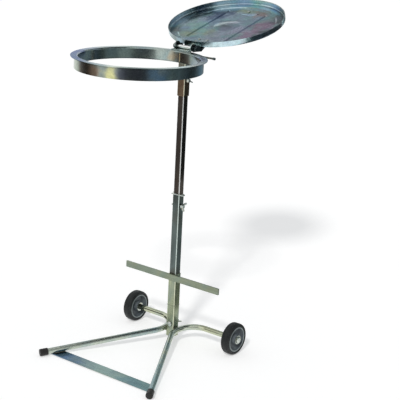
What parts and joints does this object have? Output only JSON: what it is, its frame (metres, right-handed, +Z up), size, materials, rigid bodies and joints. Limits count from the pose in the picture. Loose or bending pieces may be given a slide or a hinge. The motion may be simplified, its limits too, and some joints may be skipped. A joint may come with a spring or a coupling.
{
  "type": "bin bag holder",
  "caption": "Wheeled steel stand that holds a refuse sack open in a flanged hoop under a hinged round lid, on a telescopic square post.",
  "frame": {"origin": "on the floor, under the middle of the stand's bounding box, lid open", "axes": "+X to the right wheel, -Y to the feet and the sack hoop, +Z up along the post"},
  "size_m": [0.4496, 0.7804, 1.0526],
  "materials": {
    "zinc_tube": "zinc plated, semi-gloss",
    "zinc_sheet": "zinc plated, semi-gloss",
    "fastener": "zinc plated, bright",
    "black_plastic": "satin",
    "tyre": "matt",
    "rim_plastic": "satin"
  },
  "bodies": {
    "stand": {"left_leg_tube": "zinc_tube", "left_foot_cap": "black_plastic", "left_axle_bolt": "fastener", "left_axle_plug": "fastener", "left_axle_nut": "fastener", "left_axle_washers": "fastener", "left_axle_cap": "fastener", "right_leg_tube": "zinc_tube", "right_foot_cap": "black_plastic", "right_axle_bolt": "fastener", "right_axle_plug": "fastener", "right_axle_nut": "fastener", "right_axle_washers": "fastener", "right_axle_cap": "fastener", "foot_bar": "zinc_tube", "base_socket": "zinc_tube", "base_bolt": "fastener", "base_washer": "fastener", "crossbar_sleeve": "zinc_tube", "crossbar": "zinc_tube", "lower_post_tube": "zinc_tube", "post_washer": "fastener", "post_nut": "fastener"},
    "base_wing": {"base_wing_nut": "fastener"},
    "post_wing": {"post_wing_screw": "fastener"},
    "mast": {"upper_post_tube": "zinc_tube", "height_clip": "fastener", "top_socket": "zinc_tube", "socket_nut": "fastener", "ring_stay": "zinc_sheet", "bag_hoop": "zinc_sheet", "outer_band": "zinc_sheet", "roll_peg": "zinc_sheet", "peg_cap": "black_plastic", "ring_hinge_bracket": "zinc_sheet", "hinge_spacer": "zinc_sheet", "hinge_bolt": "fastener", "hinge_washers": "fastener", "hinge_nut": "fastener"},
    "socket_wing": {"socket_wing_screw": "fastener"},
    "lid": {"lid_pan": "zinc_sheet", "lid_hinge_bracket": "zinc_sheet", "lid_rivets": "fastener", "lid_knob": "black_plastic", "knob_screw": "fastener"},
    "left_wheel": {"left_tyre": "tyre", "left_rim": "rim_plastic"},
    "right_wheel": {"right_tyre": "tyre", "right_rim": "rim_plastic"}
  },
  "joints": [
    {"name": "post_slide", "type": "slide", "parent": "stand", "child": "mast", "axis": [0, 0, 1], "range_m": [0, 0.2]},
    {"name": "lid_hinge", "type": "hinge", "parent": "mast", "child": "lid", "pos_m": [0, 0.01328, 0.9373], "axis": [1, 0, 0], "range_deg": [0, 164]},
    {"name": "left_wheel_spin", "type": "hinge", "parent": "stand", "child": "left_wheel", "pos_m": [-0.198, 0.06928, 0.05], "axis": [1, 0, 0], "continuous": true},
    {"name": "right_wheel_spin", "type": "hinge", "parent": "stand", "child": "right_wheel", "pos_m": [0.198, 0.06928, 0.05], "axis": [1, 0, 0], "continuous": true},
    {"name": "base_wing_turn", "type": "hinge", "parent": "stand", "child": "base_wing", "pos_m": [0, 0.03328, 0.062], "axis": [0, 1, 0], "continuous": true},
    {"name": "post_wing_turn", "type": "hinge", "parent": "stand", "child": "post_wing", "pos_m": [0.018, 0.01328, 0.449], "axis": [1, 0, 0], "continuous": true},
    {"name": "socket_wing_turn", "type": "hinge", "parent": "mast", "child": "socket_wing", "pos_m": [0.024, 0.01328, 0.84], "axis": [1, 0, 0], "continuous": true}
  ]
}
